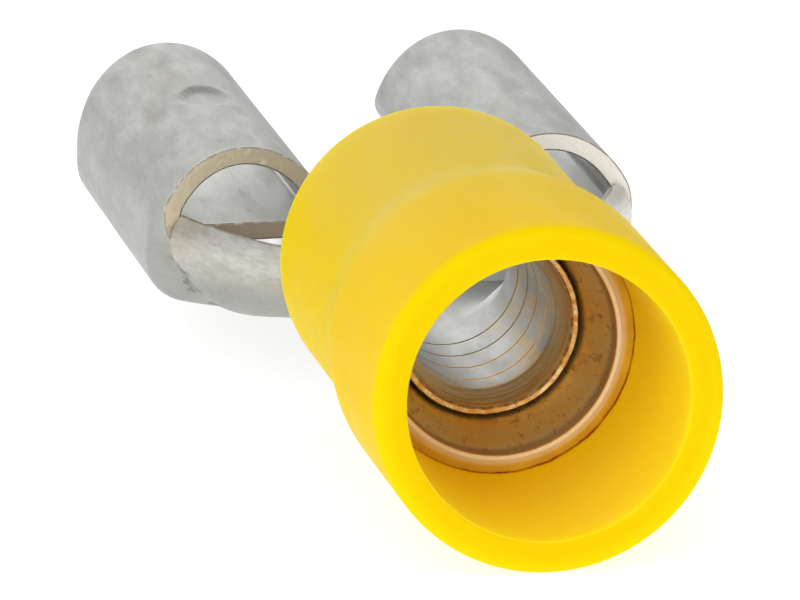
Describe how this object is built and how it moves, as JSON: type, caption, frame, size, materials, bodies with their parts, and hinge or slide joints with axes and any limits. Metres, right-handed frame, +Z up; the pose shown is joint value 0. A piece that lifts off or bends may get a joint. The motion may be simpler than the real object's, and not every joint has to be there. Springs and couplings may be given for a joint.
{
  "type": "insulated push-on crimp terminal",
  "caption": "Wire terminal with a stepped yellow sleeve and a crimp barrel at one end, and a wide push-on receptacle with two rolled ears for a flat tab at the other.",
  "frame": {"origin": "bottom centre of the bounding box: under the middle of the length, on the plane that touches the sleeve's lowest line", "axes": "+Y along the barrel's axis, from the wire mouth towards the tab end; +Z up, from the receptacle's floor towards the tops of its ears; +X across the receptacle"},
  "size_m": [0.0116, 0.031, 0.0079],
  "materials": {
    "yellow_vinyl": "satin",
    "brass_tube": "dull, mottled",
    "tinned_brass": "tin plated, satin"
  },
  "bodies": {
    "root": {"insulating_sleeve": "yellow_vinyl", "crimp_sleeve": "brass_tube", "tinned_terminal": "tinned_brass"}
  },
  "joints": []
}
